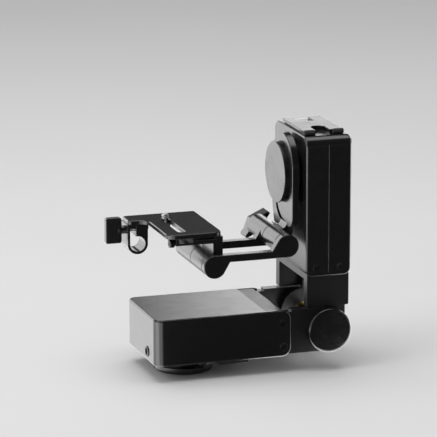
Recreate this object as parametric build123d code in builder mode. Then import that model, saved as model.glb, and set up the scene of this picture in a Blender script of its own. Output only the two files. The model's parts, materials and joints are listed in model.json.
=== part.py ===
"""Motorised pan and tilt head: an L-shaped camera gimbal, every piece its own solid."""

from build123d import *
from math import cos, pi, radians, sin
import os

# Millimetres, +Z up. The origin is the centre of the pan disc's bottom face.
# +X runs from the base towards the upright, and +Y away from the front.

# ---- driving dimensions ------------------------------------------------------

# the two housings are the same sleeve, once lying down and once standing up
HOUSING_LONG = 135.0
HOUSING_WIDE = 94.0
HOUSING_THICK = 45.0
SLEEVE_WALL = 1.5
SLEEVE_GAP = 0.1
CORNER_R = 8.0
END_R = 9.0
SOFT_EDGE = 1.8
FRAME_WALL = 3.0

BASE_LEFT = -42.0
BASE_BOTTOM = 16.0
UPRIGHT_MID_X = 129.75
UPRIGHT_BOTTOM = 91.5
HINGE_Z = 39.5
HINGE_R = 21.5
FOLD_GAP = 0.9
CHEEK_THICK = 9.4
EAR_THICK = 8.0

# pan and tilt drives
PAN_DISC_R = 28.0
PAN_DISC_H = 6.5
NECK_R = 22.0
SHAFT_R = 10.0
BEARING_R = 15.0
BEARING_H = 8.0
RUNNING_GAP = 0.03
GEAR_MODULE = 1.0
GEAR_TEETH = 60
PINION_TEETH = 12
GEAR_THICK = 6.0
MOTOR_R = 16.0
MOTOR_SHAFT_R = 2.5
TRIPOD_HOLE_R = 3.97

TILT_Z = 185.5
FLANGE_R = 30.0
TILT_KNOB_R = 29.6
TILT_KNOB_FACE_X = 91.6
HANGER_X = 96.3
HANGER_THICK = 6.5
HANGER_R = 29.5
HANGER_MID_Y = -7.9
HANGER_MID_Z = 195.8

# the swing arm between the hanger and the camera plate
BARREL_R = 11.0
ARM_FRONT_Y = -47.0
ARM_BAR = 8.0
KNUCKLE_LONG = 35.0
SLEEVE_LONG = 47.0
BOLT_R = 3.5
SEAM_WIDE = 1.0
SEAM_DEEP = 1.0
SHOULDER_X = 89.1
SHOULDER_Z = 123.7
WRIST_X = 16.9
WRIST_Z = 108.7
LEVER_LONG = 34.2
LEVER_WIDE = 14.4
LEVER_DEEP = 17.0

# camera plate and rod clamp
PLATE_LEFT = -27.0
PLATE_RIGHT = 27.0
PLATE_FRONT = -38.8
PLATE_BACK = 51.0
PLATE_BOTTOM = 136.6
PLATE_THICK = 4.0
CAMERA_SCREW_R = 3.175
CAMERA_SCREW_UP = 5.0
SHANK_R = 2.6
SLOT_X = -9.5
SLOT_WIDE = 6.8
SLOT_FRONT = -28.0
SLOT_BACK = 31.0
TONGUE_LEFT = -45.3
TONGUE_FRONT = 29.0
PLATE_CORNER_R = 8.0
TONGUE_BEND_R = 9.0
ROD_R = 7.5
ROD_X = -36.1
ROD_Z = 117.5
ROD_WALL = 2.5
PINCH_SCREW_END = -33.2
PINCH_Z = 130.0
PINCH_R = 2.0
ROD_KNOB_Y = 40.0

# accessory rail and battery plate
RAIL_WIDE = 38.4
RAIL_MID_X = 128.4
RAIL_FRONT = -32.0
RAIL_BACK = 30.0
RAIL_H = 4.0
BATTERY_WIDE = 39.0
BATTERY_LONG = 57.0

# ---- sizes worked out from them ----------------------------------------------

BASE_RIGHT = BASE_LEFT + HOUSING_LONG
BASE_TOP = BASE_BOTTOM + HOUSING_THICK
BASE_MID_Z = BASE_BOTTOM + HOUSING_THICK / 2
HALF_WIDE = HOUSING_WIDE / 2
INSET = SLEEVE_WALL + SLEEVE_GAP
FRAME_HALF = HALF_WIDE - INSET
UPRIGHT_LEFT = UPRIGHT_MID_X - HOUSING_THICK / 2
UPRIGHT_RIGHT = UPRIGHT_MID_X + HOUSING_THICK / 2
UPRIGHT_TOP = UPRIGHT_BOTTOM + HOUSING_LONG
FOOT_Z = HINGE_Z + HINGE_R + FOLD_GAP
CHEEK_IN = FRAME_HALF - CHEEK_THICK
EAR_OUT = CHEEK_IN - 0.5
EAR_IN = EAR_OUT - EAR_THICK
GEAR_R = GEAR_MODULE * GEAR_TEETH / 2
PINION_R = GEAR_MODULE * PINION_TEETH / 2
CENTRES = GEAR_R + PINION_R
FLANGE_X = HANGER_X + HANGER_THICK
KNUCKLE_FRONT = ARM_FRONT_Y + ARM_BAR + 0.2
KNUCKLE_BACK = KNUCKLE_FRONT + KNUCKLE_LONG - 0.4
SLEEVE_FRONT = KNUCKLE_BACK + 0.2
SLEEVE_BACK = SLEEVE_FRONT + SLEEVE_LONG
LEVER_FRONT = SLEEVE_BACK + 0.3
FAR_BAR_FRONT = SLEEVE_FRONT + ARM_BAR
PLATE_TOP = PLATE_BOTTOM + PLATE_THICK

BACKWARD = (0, 1, 0)

pieces = []


def keep(part, name):
    """Label a finished piece and put it on the list of files to write."""
    part.label = name
    pieces.append(part)


def level(z):
    """Sketch plane lying flat at height z."""
    return Plane.XY.offset(z)


def across(y):
    """Sketch plane facing the front at depth y: sketch x is X and sketch y is Z."""
    return Plane.XZ.offset(-y)


def side(x):
    """Sketch plane facing +X at x: sketch x is Y and sketch y is Z."""
    return Plane.YZ.offset(x)


def gear_points(teeth, tooth_angle):
    """Corners of a spur gear's outline, with one tooth centred on tooth_angle degrees."""
    pitch = GEAR_MODULE * teeth / 2
    corners = ((pitch - 1.25, 0.95), (pitch + 0.8, 0.36), (pitch + 0.8, -0.36), (pitch - 1.25, -0.95))
    points = []
    for tooth in range(teeth):
        middle = radians(tooth_angle) - 2 * pi * tooth / teeth
        for radius, half in corners:
            angle = middle + half / radius
            points.append((radius * cos(angle), radius * sin(angle)))
    return points


def screws(name, seats, head_r, head_h, shank_r, shank):
    """Identical cap screws: each seat is a plane under the head, facing out of it."""
    with BuildPart() as group:
        for seat in seats:
            with BuildSketch(seat):
                Circle(head_r)
            extrude(amount=head_h)
            with BuildSketch(seat):
                Circle(shank_r)
            extrude(amount=-shank)
            with BuildSketch(seat.offset(head_h)):
                RegularPolygon(head_r * 0.52, 6)
            extrude(amount=-head_h * 0.7, mode=Mode.SUBTRACT)
    keep(group.part, name)


def spoke_places(count, radius, first=0.0):
    """Points evenly round a circle."""
    angles = [radians(first + 360 * i / count) for i in range(count)]
    return [(radius * cos(a), radius * sin(a)) for a in angles]


# ---- pan disc, the fixed foot --------------------------------------------------

PAD_INNER = 16.0
PAD_OUTER = 26.0
PAD_H = 2.0
DISC_BOTTOM = 0.5
BUSH_R = 7.0
BUSH_TOP = 9.0
SPIGOT_R = 8.0
NECK_TOP = 15.4
SHAFT_FLANGE_R = 15.0
SHAFT_FLANGE_TOP = 17.2
SHAFT_TOP = 40.0
CABLE_R = 5.5
DISC_SCREW_RING = 11.5
DISC_SCREW_SEAT = 3.4
DISC_SCREW_TOP = 16.6
disc_screw_spots = spoke_places(3, DISC_SCREW_RING, 30)

with BuildPart() as mount_pad:
    with BuildSketch(level(0)):
        Circle(PAD_OUTER)
        Circle(PAD_INNER, mode=Mode.SUBTRACT)
    extrude(amount=PAD_H)
    chamfer(mount_pad.faces().sort_by(Axis.Z)[0].edges(), 0.3)
keep(mount_pad.part, "mount_pad")

with BuildPart() as mount_disc:
    with BuildSketch(level(DISC_BOTTOM)):
        Circle(PAN_DISC_R)
    extrude(amount=PAN_DISC_H - DISC_BOTTOM)
    chamfer(mount_disc.faces().sort_by(Axis.Z)[0].edges(), 1.0)
    chamfer(mount_disc.faces().sort_by(Axis.Z)[-1].edges(), 0.6)
    with BuildSketch(level(PAN_DISC_H)):
        Circle(NECK_R)
    extrude(amount=NECK_TOP - PAN_DISC_H)
    # grooves round the neck
    for groove_z in (9.0, 11.6):
        with BuildSketch(level(groove_z)):
            Circle(NECK_R + 1)
            Circle(NECK_R - 0.8, mode=Mode.SUBTRACT)
        extrude(amount=0.9, mode=Mode.SUBTRACT)
    with BuildSketch(level(DISC_BOTTOM)):
        Circle(PAD_OUTER)
        Circle(PAD_INNER, mode=Mode.SUBTRACT)
    extrude(amount=PAD_H - DISC_BOTTOM, mode=Mode.SUBTRACT)
    with BuildSketch(level(DISC_BOTTOM)):
        Circle(BUSH_R)
    extrude(amount=BUSH_TOP - DISC_BOTTOM, mode=Mode.SUBTRACT)
    with BuildSketch(level(BUSH_TOP)):
        Circle(SPIGOT_R)
    extrude(amount=NECK_TOP - BUSH_TOP, mode=Mode.SUBTRACT)
    with BuildSketch(level(DISC_BOTTOM)):
        with Locations(*disc_screw_spots):
            Circle(2.6)
    extrude(amount=DISC_SCREW_SEAT - DISC_BOTTOM, mode=Mode.SUBTRACT)
    with BuildSketch(level(DISC_BOTTOM)):
        with Locations(*disc_screw_spots):
            Circle(1.5)
    extrude(amount=NECK_TOP, mode=Mode.SUBTRACT)
keep(mount_disc.part, "mount_disc")

with BuildPart() as tripod_bush:
    with BuildSketch(level(0)):
        Circle(BUSH_R)
        Circle(TRIPOD_HOLE_R, mode=Mode.SUBTRACT)
    extrude(amount=BUSH_TOP)
keep(tripod_bush.part, "tripod_bush")

with BuildPart() as pan_shaft:
    with BuildSketch(level(BUSH_TOP)):
        Circle(SPIGOT_R)
    extrude(amount=NECK_TOP - BUSH_TOP)
    with BuildSketch(level(NECK_TOP)):
        Circle(SHAFT_FLANGE_R)
    extrude(amount=SHAFT_FLANGE_TOP - NECK_TOP)
    with BuildSketch(level(SHAFT_FLANGE_TOP)):
        Circle(SHAFT_R)
    extrude(amount=SHAFT_TOP - SHAFT_FLANGE_TOP)
    with BuildSketch(level(BUSH_TOP)):
        Circle(CABLE_R)
    extrude(amount=SHAFT_TOP, mode=Mode.SUBTRACT)
    with BuildSketch(level(NECK_TOP)):
        with Locations(*disc_screw_spots):
            Circle(1.5)
    extrude(amount=DISC_SCREW_TOP - NECK_TOP, mode=Mode.SUBTRACT)
    chamfer(pan_shaft.edges().filter_by(GeomType.CIRCLE).group_by(Axis.Z)[-1], 0.6)
keep(pan_shaft.part, "pan_shaft")

disc_seats = [
    Plane(origin=(x, y, DISC_SCREW_SEAT), x_dir=(1, 0, 0), z_dir=(0, 0, -1)) for x, y in disc_screw_spots
]
screws("disc_screws", disc_seats, 2.55, 2.4, 1.5, DISC_SCREW_TOP - DISC_SCREW_SEAT)

PAN_GEAR_Z = 28.0
with BuildPart() as pan_gear:
    with BuildSketch(level(PAN_GEAR_Z)):
        with BuildLine():
            Polyline(*gear_points(GEAR_TEETH, 180 / GEAR_TEETH), close=True)
        make_face()
        Circle(SHAFT_R, mode=Mode.SUBTRACT)
        with PolarLocations(20, 6):
            Circle(5, mode=Mode.SUBTRACT)
    extrude(amount=GEAR_THICK)
keep(pan_gear.part, "pan_gear")

with BuildPart() as pan_retainer:
    with BuildSketch(level(PAN_GEAR_Z + GEAR_THICK)):
        Circle(13)
        Circle(SHAFT_R, mode=Mode.SUBTRACT)
        with PolarLocations(13, 4):
            Rectangle(3, 3, mode=Mode.SUBTRACT)
    extrude(amount=3.5)
keep(pan_retainer.part, "pan_retainer")

# ---- base: frame, cover and what they hold ------------------------------------

TRAY_FLOOR = BASE_BOTTOM + INSET + FRAME_WALL
TRAY_LEFT = BASE_LEFT + INSET
TRAY_RIGHT = BASE_RIGHT - 2.0
FRAME_BOTTOM = BASE_BOTTOM + INSET
FRAME_TOP = BASE_TOP - INSET
BOX_END = 86.0
THICK_WALL_FROM = 62.0
LID_FROM = 66.0
WINDOW_FROM = 68.0
WINDOW_HALF = 43.0
PAD_GAP = 0.3
PAN_BEARING_Z = 18.4
BOSS_R = 19.0
BOSS_TOP = PAN_BEARING_Z + BEARING_H
LIP_R = 11.5
COVER_SCREW_R = 3.2
COVER_SCREW_SHANK = 1.5
BASE_SCREW_X = 85.0
BASE_SCREW_ZS = (25.7, 48.7)
SOCKET_Y = -19.5
SOCKET_Z = 25.0
SOCKET_R = 4.3
PIN_R = 6.0
PIN_STUB_R = 4.0
MOTOR_X = CENTRES
BRACKET_Z = 36.0
BRACKET_H = 2.5
BOARD_Z = 47.0
motor_posts = [(26, 29), (26, -29), (54, 24), (54, -24)]
board_posts = [(-32, 35), (-32, -35), (8, 38), (8, -38)]

with BuildPart() as base_cover:
    with BuildSketch(across(-HALF_WIDE)):
        with Locations(((BASE_LEFT + BASE_RIGHT) / 2, BASE_MID_Z)):
            end = Rectangle(HOUSING_LONG, HOUSING_THICK)
        fillet(end.vertices().group_by(Axis.X)[-1], END_R)
    extrude(amount=HOUSING_WIDE, dir=BACKWARD)
    fillet(base_cover.edges().filter_by(Axis.Z).group_by(Axis.X)[0], CORNER_R)
    smooth = base_cover.edges().filter_by(Axis.Z).filter_by_position(Axis.X, BASE_LEFT, 0)
    smooth += base_cover.edges().filter_by(Axis.Y).filter_by_position(Axis.X, 0, BASE_RIGHT + 1)
    fillet(base_cover.edges() - smooth, SOFT_EDGE)
    with BuildSketch(level(BASE_BOTTOM + SLEEVE_WALL)):
        with Locations(((BASE_LEFT + BASE_RIGHT) / 2 + SLEEVE_WALL, 0)):
            hollow = Rectangle(HOUSING_LONG, HOUSING_WIDE - 2 * SLEEVE_WALL)
        fillet(hollow.vertices().group_by(Axis.X)[0], CORNER_R - SLEEVE_WALL)
    extrude(amount=HOUSING_THICK - 2 * SLEEVE_WALL, mode=Mode.SUBTRACT)
    # window in the top at the hinge end, where the frame shows
    with BuildSketch(level(BASE_TOP - SLEEVE_WALL - 0.5)):
        with Locations(((WINDOW_FROM + BASE_RIGHT + 5) / 2, 0)):
            Rectangle(BASE_RIGHT + 5 - WINDOW_FROM, 2 * WINDOW_HALF)
    extrude(amount=SLEEVE_WALL + 2, mode=Mode.SUBTRACT)
    with BuildSketch(level(BASE_BOTTOM - 1)):
        Circle(NECK_R + 1.5)
    extrude(amount=SLEEVE_WALL + 2, mode=Mode.SUBTRACT)
    with BuildSketch(across(-HALF_WIDE - 1)):
        with Locations(*[(BASE_SCREW_X, z) for z in BASE_SCREW_ZS]):
            Circle(COVER_SCREW_R + 0.15)
    extrude(amount=HOUSING_WIDE + 2, dir=BACKWARD, mode=Mode.SUBTRACT)
    with BuildSketch(side(BASE_LEFT - 1)):
        with Locations((SOCKET_Y, SOCKET_Z)):
            Circle(SOCKET_R)
    extrude(amount=SLEEVE_WALL + 2, mode=Mode.SUBTRACT)
keep(base_cover.part, "base_cover")

with BuildPart() as base_frame:
    with BuildSketch(across(-FRAME_HALF)):
        with Locations(((TRAY_LEFT + TRAY_RIGHT) / 2, BASE_MID_Z)):
            tray = Rectangle(TRAY_RIGHT - TRAY_LEFT, FRAME_TOP - FRAME_BOTTOM)
        fillet(tray.vertices().group_by(Axis.X)[-1], END_R - INSET)
    extrude(amount=2 * FRAME_HALF, dir=BACKWARD)
    fillet(base_frame.edges().filter_by(Axis.Z).group_by(Axis.X)[0], CORNER_R - INSET)
    # hollow with an open top, and a roofed bay at the hinge end
    with BuildSketch(level(TRAY_FLOOR)):
        with Locations(((TRAY_LEFT + FRAME_WALL + THICK_WALL_FROM) / 2, 0)):
            Rectangle(THICK_WALL_FROM - TRAY_LEFT - FRAME_WALL, 2 * (FRAME_HALF - FRAME_WALL))
    extrude(amount=HOUSING_THICK, mode=Mode.SUBTRACT)
    with BuildSketch(level(TRAY_FLOOR)):
        with Locations(((THICK_WALL_FROM + BOX_END) / 2 - 1, 0)):
            Rectangle(BOX_END - THICK_WALL_FROM + 2, 2 * CHEEK_IN)
    extrude(amount=FRAME_TOP - 2.4 - TRAY_FLOOR, mode=Mode.SUBTRACT)
    # raised pad that fills the cover's window
    with BuildSketch(level(FRAME_TOP)):
        with Locations(((WINDOW_FROM + PAD_GAP + TRAY_RIGHT - END_R + INSET) / 2, 0)):
            Rectangle(TRAY_RIGHT - END_R + INSET - WINDOW_FROM - PAD_GAP, 2 * (WINDOW_HALF - PAD_GAP))
    extrude(amount=INSET - PAD_GAP)
    # the two cheeks that carry the fold hinge
    for cheek_y in (-FRAME_HALF, CHEEK_IN):
        with BuildSketch(across(cheek_y)):
            with Locations(((TRAY_RIGHT - 8 + UPRIGHT_MID_X) / 2, BASE_MID_Z)):
                Rectangle(UPRIGHT_MID_X - TRAY_RIGHT + 8, FRAME_TOP - FRAME_BOTTOM - 1)
            with Locations(((BASE_RIGHT + 0.3 + UPRIGHT_MID_X) / 2, HINGE_Z)):
                Rectangle(UPRIGHT_MID_X - BASE_RIGHT - 0.3, 2 * HINGE_R)
            with Locations((UPRIGHT_MID_X, HINGE_Z)):
                Circle(HINGE_R)
                Circle(PIN_R, mode=Mode.SUBTRACT)
        extrude(amount=CHEEK_THICK, dir=BACKWARD)
    with BuildSketch(level(FRAME_BOTTOM)):
        Circle(BOSS_R)
    extrude(amount=BOSS_TOP - FRAME_BOTTOM)
    with BuildSketch(level(PAN_BEARING_Z)):
        Circle(BEARING_R)
    extrude(amount=BEARING_H, mode=Mode.SUBTRACT)
    with BuildSketch(level(FRAME_BOTTOM)):
        Circle(LIP_R)
    extrude(amount=5, mode=Mode.SUBTRACT)
    with BuildSketch(level(TRAY_FLOOR)):
        with Locations(*motor_posts):
            Circle(3.5)
    extrude(amount=BRACKET_Z - TRAY_FLOOR)
    with BuildSketch(level(TRAY_FLOOR)):
        with Locations(*board_posts):
            Circle(3)
    extrude(amount=BOARD_Z - TRAY_FLOOR)
    for edge_y in (-FRAME_HALF, FRAME_HALF - 7):
        with BuildSketch(across(edge_y)):
            with Locations(*[(BASE_SCREW_X, z) for z in BASE_SCREW_ZS]):
                Circle(COVER_SCREW_SHANK)
        extrude(amount=7, dir=BACKWARD, mode=Mode.SUBTRACT)
    with BuildSketch(side(TRAY_LEFT)):
        with Locations((SOCKET_Y, SOCKET_Z)):
            Circle(SOCKET_R)
    extrude(amount=FRAME_WALL, mode=Mode.SUBTRACT)
keep(base_frame.part, "base_frame")

base_seats = []
for facing in (-1, 1):
    for z in BASE_SCREW_ZS:
        seat_y = facing * FRAME_HALF
        base_seats.append(Plane(origin=(BASE_SCREW_X, seat_y, z), x_dir=(1, 0, 0), z_dir=(0, facing, 0)))
screws("base_cover_screws", base_seats, COVER_SCREW_R, INSET - 0.2, COVER_SCREW_SHANK, 6.5)

with BuildPart() as pan_bearing:
    with BuildSketch(level(PAN_BEARING_Z)):
        Circle(BEARING_R)
        Circle(SHAFT_R + RUNNING_GAP, mode=Mode.SUBTRACT)
    extrude(amount=BEARING_H)
    with BuildSketch(level(PAN_BEARING_Z + BEARING_H)):
        Circle(BEARING_R - 1.6)
        Circle(BEARING_R - 3.2, mode=Mode.SUBTRACT)
    extrude(amount=-0.6, mode=Mode.SUBTRACT)
keep(pan_bearing.part, "pan_bearing")

with BuildPart() as pan_motor_bracket:
    with BuildSketch(level(BRACKET_Z)):
        with Locations((40, 0)):
            RectangleRounded(38, 68, 5)
        with Locations((MOTOR_X, 0)):
            Circle(4.5, mode=Mode.SUBTRACT)
    extrude(amount=BRACKET_H)
keep(pan_motor_bracket.part, "pan_motor_bracket")

MOTOR_Z = BRACKET_Z + BRACKET_H
with BuildPart() as pan_motor:
    with BuildSketch(level(MOTOR_Z)):
        with Locations((MOTOR_X, 0)):
            Circle(MOTOR_R)
    extrude(amount=17)
    fillet(pan_motor.faces().sort_by(Axis.Z)[-1].edges(), 1.5)
    with BuildSketch(level(MOTOR_Z)):
        with Locations((MOTOR_X, 0)):
            Circle(MOTOR_SHAFT_R + RUNNING_GAP)
    extrude(amount=5, mode=Mode.SUBTRACT)
keep(pan_motor.part, "pan_motor")

with BuildPart() as pan_pinion:
    with BuildSketch(Plane(origin=(MOTOR_X, 0, PAN_GEAR_Z))):
        with BuildLine():
            Polyline(*gear_points(PINION_TEETH, 180), close=True)
        make_face()
    extrude(amount=GEAR_THICK)
    with BuildSketch(level(PAN_GEAR_Z)):
        with Locations((MOTOR_X, 0)):
            Circle(MOTOR_SHAFT_R)
    extrude(amount=MOTOR_Z + 4.5 - PAN_GEAR_Z)
keep(pan_pinion.part, "pan_pinion")

with BuildPart() as base_board:
    with BuildSketch(level(BOARD_Z)):
        with Locations((-12, 0)):
            RectangleRounded(48, 82, 2)
    extrude(amount=1.6)
    with BuildSketch(level(BOARD_Z + 1.6)):
        with Locations((-20, 12)):
            Rectangle(12, 12)
        with Locations((-20, -16)):
            Rectangle(9, 9)
        with Locations((-2, 22), (-2, 8), (-2, -8)):
            Rectangle(5, 8)
        with Locations((-4, -26)):
            Rectangle(12, 14)
    extrude(amount=2)
keep(base_board.part, "base_board")

with BuildPart() as power_socket:
    with BuildSketch(side(BASE_LEFT + 0.3)):
        with Locations((SOCKET_Y, SOCKET_Z)):
            Circle(SOCKET_R)
            Circle(3.1, mode=Mode.SUBTRACT)
    extrude(amount=12)
    with BuildSketch(side(BASE_LEFT + 9)):
        with Locations((SOCKET_Y, SOCKET_Z)):
            Circle(3.3)
    extrude(amount=2)
    with BuildSketch(side(BASE_LEFT + 1.5)):
        with Locations((SOCKET_Y, SOCKET_Z)):
            Circle(1.0)
    extrude(amount=8)
keep(power_socket.part, "power_socket")

RING_R = 5.2
RING_PROUD = 0.9
with BuildPart() as socket_ring:
    with BuildSketch(side(BASE_LEFT - RING_PROUD)):
        with Locations((SOCKET_Y, SOCKET_Z)):
            Circle(RING_R)
            Circle(RING_R - 1.8, mode=Mode.SUBTRACT)
    extrude(amount=RING_PROUD)
    chamfer(socket_ring.faces().sort_by(Axis.X)[0].edges(), 0.35)
keep(socket_ring.part, "socket_ring")

# port block under the base, with sloping ends
PORT_LEFT = 21.0
PORT_RIGHT = 53.0
PORT_DROP = 4.5
with BuildPart() as port_block:
    with BuildSketch(across(-42)):
        with BuildLine():
            Polyline(
                (PORT_LEFT, BASE_BOTTOM),
                (PORT_LEFT + 2, BASE_BOTTOM - PORT_DROP),
                (PORT_RIGHT - 3, BASE_BOTTOM - PORT_DROP),
                (PORT_RIGHT, BASE_BOTTOM),
                close=True,
            )
        make_face()
    extrude(amount=32, dir=BACKWARD)
    chamfer(port_block.edges().filter_by(Axis.X).group_by(Axis.Z)[0], 0.8)
    with BuildSketch(level(BASE_BOTTOM - PORT_DROP)):
        with Locations((PORT_LEFT + 9, -26), (PORT_RIGHT - 9, -26)):
            RectangleRounded(9, 14, 1.2)
    extrude(amount=2.5, mode=Mode.SUBTRACT)
keep(port_block.part, "port_block")

# ---- fold hinge ----------------------------------------------------------------

KNOB_BACK = -FRAME_HALF - 0.4
KNOB_FACE = -HALF_WIDE - 7.0
KNOB_EDGE_R = 2.6

with BuildPart() as fold_pin:
    with BuildSketch(across(-FRAME_HALF)):
        with Locations((UPRIGHT_MID_X, HINGE_Z)):
            Circle(PIN_R)
    extrude(amount=2 * FRAME_HALF, dir=BACKWARD)
    with BuildSketch(across(KNOB_FACE + 2)):
        with Locations((UPRIGHT_MID_X, HINGE_Z)):
            Circle(PIN_STUB_R)
    extrude(amount=-KNOB_FACE - 2 - FRAME_HALF, dir=BACKWARD)
keep(fold_pin.part, "fold_pin")

with BuildPart() as fold_knob:
    with BuildSketch(across(KNOB_FACE)):
        with Locations((UPRIGHT_MID_X, HINGE_Z)):
            Circle(HINGE_R)
    extrude(amount=KNOB_BACK - KNOB_FACE, dir=BACKWARD)
    fillet(fold_knob.faces().sort_by(Axis.Y)[0].edges(), KNOB_EDGE_R)
    chamfer(fold_knob.faces().sort_by(Axis.Y)[-1].edges(), 0.5)
    with BuildSketch(across(KNOB_FACE + 1.8)):
        with Locations((UPRIGHT_MID_X, HINGE_Z)):
            Circle(PIN_STUB_R + RUNNING_GAP)
    extrude(amount=10, dir=BACKWARD, mode=Mode.SUBTRACT)
keep(fold_knob.part, "fold_knob")

with BuildPart() as hinge_cap:
    with BuildSketch(across(FRAME_HALF)):
        with Locations((UPRIGHT_MID_X, HINGE_Z)):
            Circle(HINGE_R - 0.5)
    extrude(amount=2.6, dir=BACKWARD)
    fillet(hinge_cap.faces().sort_by(Axis.Y)[-1].edges(), 1.0)
keep(hinge_cap.part, "hinge_cap")

with BuildPart() as friction_washers:
    for washer_y in (-CHEEK_IN, CHEEK_IN - 0.4):
        with BuildSketch(across(washer_y)):
            with Locations((UPRIGHT_MID_X, HINGE_Z)):
                Circle(15)
                Circle(PIN_R, mode=Mode.SUBTRACT)
        extrude(amount=0.4, dir=BACKWARD)
keep(friction_washers.part, "friction_washers")

# ---- upright: frame, cover and what they hold ----------------------------------

UFRAME_LEFT = UPRIGHT_LEFT + INSET
UFRAME_RIGHT = UPRIGHT_RIGHT - INSET
UFRAME_TOP = UPRIGHT_TOP - INSET
LEG_IN = CHEEK_IN
DECK_BOTTOM = 88.0
DECK_TOP = 93.0
LEFT_WALL_IN = UFRAME_LEFT + FRAME_WALL
RIGHT_WALL_IN = UFRAME_RIGHT - 4.5
BUSH_OUT = 8.0
TILT_BEARING_R = 14.0
TILT_SHAFT_R = 9.0
TILT_BEARING_X = UFRAME_LEFT + 1.2
TILT_BOSS_END = TILT_BEARING_X + BEARING_H
TILT_LIP_R = 10.5
UPRIGHT_SCREW_XS = (UPRIGHT_MID_X - 11.7, UPRIGHT_MID_X + 11.7)
UPRIGHT_SCREW_Z = 99.5
TILT_GEAR_X = 121.0
TILT_MOTOR_Z = TILT_Z - CENTRES
TILT_BRACKET_X = 130.0
UBOARD_X = 143.0
tilt_motor_posts = [(20, 128), (-20, 128), (27, 152), (-27, 152)]
uboard_posts = [(36, 170), (-36, 170), (34, 216), (-34, 216)]

with BuildPart() as upright_cover:
    with BuildSketch(side(UPRIGHT_LEFT)):
        with Locations((0, UPRIGHT_BOTTOM + HOUSING_LONG / 2)):
            cap = Rectangle(HOUSING_WIDE, HOUSING_LONG)
        fillet(cap.vertices().group_by(Axis.Y)[-1], END_R)
    extrude(amount=HOUSING_THICK)
    fillet(upright_cover.edges().filter_by(Axis.Y).group_by(Axis.Z)[0], CORNER_R - 1)
    usmooth = upright_cover.edges().filter_by(Axis.X).filter_by_position(Axis.Z, UPRIGHT_TOP - 20, UPRIGHT_TOP + 1)
    usmooth += upright_cover.edges().filter_by(Axis.Y).filter_by_position(Axis.Z, UPRIGHT_BOTTOM - 1, 120)
    fillet(upright_cover.edges() - usmooth, SOFT_EDGE)
    with BuildSketch(side(UPRIGHT_LEFT + SLEEVE_WALL)):
        with Locations((0, UPRIGHT_BOTTOM + HOUSING_LONG / 2 - SLEEVE_WALL)):
            inner = Rectangle(HOUSING_WIDE - 2 * SLEEVE_WALL, HOUSING_LONG)
        fillet(inner.vertices().group_by(Axis.Y)[-1], END_R - SLEEVE_WALL)
    extrude(amount=HOUSING_THICK - 2 * SLEEVE_WALL, mode=Mode.SUBTRACT)
    with BuildSketch(side(UPRIGHT_LEFT - 1)):
        with Locations((0, TILT_Z)):
            Circle(16)
    extrude(amount=SLEEVE_WALL + 2, mode=Mode.SUBTRACT)
    with BuildSketch(across(-HALF_WIDE - 1)):
        with Locations(*[(x, UPRIGHT_SCREW_Z) for x in UPRIGHT_SCREW_XS]):
            Circle(COVER_SCREW_R + 0.15)
    extrude(amount=HOUSING_WIDE + 2, dir=BACKWARD, mode=Mode.SUBTRACT)
    # fine seam down the middle of the front
    with BuildSketch(across(-HALF_WIDE)):
        with Locations((UPRIGHT_MID_X, UPRIGHT_BOTTOM + HOUSING_LONG / 2)):
            Rectangle(0.35, HOUSING_LONG - 4 * SOFT_EDGE)
    extrude(amount=0.25, dir=BACKWARD, mode=Mode.SUBTRACT)
keep(upright_cover.part, "upright_cover")

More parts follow.
